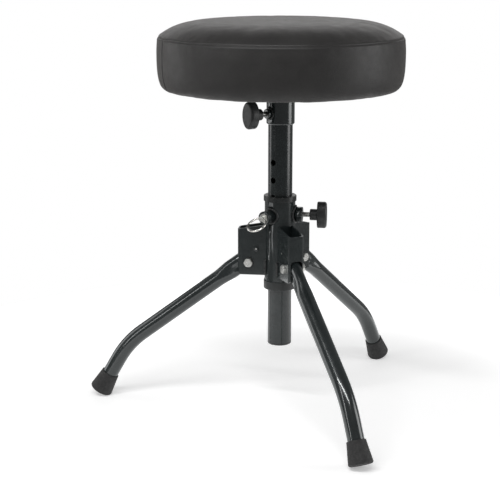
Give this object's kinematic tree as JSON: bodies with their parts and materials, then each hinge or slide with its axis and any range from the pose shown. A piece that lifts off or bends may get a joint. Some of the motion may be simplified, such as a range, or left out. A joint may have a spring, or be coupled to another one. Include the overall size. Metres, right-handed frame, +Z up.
{
  "type": "drum throne",
  "caption": "Round padded stool on a height-adjustable post with folding tubular legs, a sprung locking pin and oval-knob clamps.",
  "frame": {"origin": "centre of the whole throne's footprint, on the floor", "axes": "+Z up along the post; -Y towards the front leg; +X to the right of that leg"},
  "size_m": [0.4318, 0.3968, 0.4857],
  "materials": {
    "black_powder_coat": "gloss black powder coat",
    "black_steel_post": "gloss black, slightly rubbed",
    "zinc_steel": "bright zinc plating",
    "nickel_wire": "polished nickel",
    "spring_steel": "plain spring steel",
    "black_plastic": "satin moulded black plastic",
    "bushing_plastic": "satin black nylon",
    "black_rubber": "matt black rubber",
    "seat_leatherette": "satin black leatherette",
    "foam": "open-cell upholstery foam",
    "plywood": "bare plywood",
    "cloth": "thin woven dust cloth",
    "weld": "painted weld"
  },
  "bodies": {
    "frame": {"outer_tube": "black_powder_coat", "upper_bushing": "bushing_plastic", "lower_bushing": "bushing_plastic", "front_bracket": "black_powder_coat", "right_bracket": "black_powder_coat", "left_bracket": "black_powder_coat", "weld_beads": "weld", "bracket_rivets": "black_powder_coat", "rivet_cores": "zinc_steel", "pivot_bolts": "zinc_steel", "pivot_washers": "black_plastic", "pivot_nuts": "zinc_steel", "pin_housing": "black_powder_coat", "housing_cap": "zinc_steel", "clamp_boss": "black_powder_coat", "pin_spring": "spring_steel"},
    "plunger": {"locking_pin": "zinc_steel"},
    "finger_ring": {"pull_ring": "nickel_wire"},
    "post_pad": {"clamp_pad": "black_plastic"},
    "post_clamp": {"clamp_screw": "zinc_steel", "clamp_knob": "black_plastic"},
    "post": {"post_tube": "black_steel_post", "post_end_plug": "black_plastic"},
    "seat": {"seat_cover": "seat_leatherette", "seat_foam": "foam", "seat_board": "plywood", "underside_cloth": "cloth", "tee_nuts": "zinc_steel", "plate_screws": "zinc_steel", "seat_plate": "black_powder_coat", "seat_socket": "black_powder_coat", "socket_weld": "weld", "seat_clamp_boss": "black_powder_coat"},
    "seat_pad": {"seat_clamp_pad": "black_plastic"},
    "seat_clamp": {"seat_clamp_screw": "zinc_steel", "seat_clamp_knob": "black_plastic"},
    "front_leg": {"front_leg_tube": "black_powder_coat", "front_pivot_bush": "zinc_steel", "front_foot_cap": "black_rubber"},
    "right_leg": {"right_leg_tube": "black_powder_coat", "right_pivot_bush": "zinc_steel", "right_foot_cap": "black_rubber"},
    "left_leg": {"left_leg_tube": "black_powder_coat", "left_pivot_bush": "zinc_steel", "left_foot_cap": "black_rubber"}
  },
  "joints": [
    {"name": "front_leg_fold", "type": "hinge", "parent": "frame", "child": "front_leg", "pos_m": [0, 0.01056, 0.187], "axis": [1, 0, 0], "range_deg": [0, 50]},
    {"name": "right_leg_fold", "type": "hinge", "parent": "frame", "child": "right_leg", "pos_m": [0.03291, 0.06756, 0.187], "axis": [-0.5, 0.866, 0], "range_deg": [0, 50]},
    {"name": "left_leg_fold", "type": "hinge", "parent": "frame", "child": "left_leg", "pos_m": [-0.03291, 0.06756, 0.187], "axis": [-0.5, -0.866, 0], "range_deg": [0, 50]},
    {"name": "pin_pull", "type": "slide", "parent": "frame", "child": "plunger", "axis": [-0.866, -0.5, 0], "range_m": [0, 0.004], "stiffness_N_per_m": 800, "springref_m": -0.005, "deforming": ["pin_spring"]},
    {"name": "ring_swing", "type": "hinge", "parent": "plunger", "child": "finger_ring", "pos_m": [-0.03239, 0.02986, 0.248], "axis": [-0.5, 0.866, 0], "range_deg": [-55, 80]},
    {"name": "clamp_travel", "type": "slide", "parent": "frame", "child": "post_pad", "axis": [0.866, -0.5, 0], "range_m": [0, 0.003]},
    {"name": "clamp_turn", "type": "hinge", "parent": "post_pad", "child": "post_clamp", "pos_m": [0.02598, 0.03356, 0.248], "axis": [0.866, -0.5, 0], "range_deg": [0, 1080]},
    {"name": "post_height", "type": "slide", "parent": "frame", "child": "post", "axis": [0, 0, 1], "range_m": [-0.066, 0.066]},
    {"name": "seat_swivel", "type": "hinge", "parent": "post", "child": "seat", "pos_m": [0, 0.04856, 0.38], "axis": [0, 0, 1], "continuous": true},
    {"name": "seat_clamp_travel", "type": "slide", "parent": "seat", "child": "seat_pad", "axis": [-0.9659, -0.2588, 0], "range_m": [0, 0.003]},
    {"name": "seat_clamp_turn", "type": "hinge", "parent": "seat_pad", "child": "seat_clamp", "pos_m": [-0.02511, 0.04183, 0.374], "axis": [-0.9659, -0.2588, 0], "range_deg": [0, 1080]}
  ],
  "couplings": [
    {"joint": "clamp_travel", "follows": "clamp_turn", "m_per_rad": 0.00015915},
    {"joint": "seat_clamp_travel", "follows": "seat_clamp_turn", "m_per_rad": 0.00015915}
  ]
}
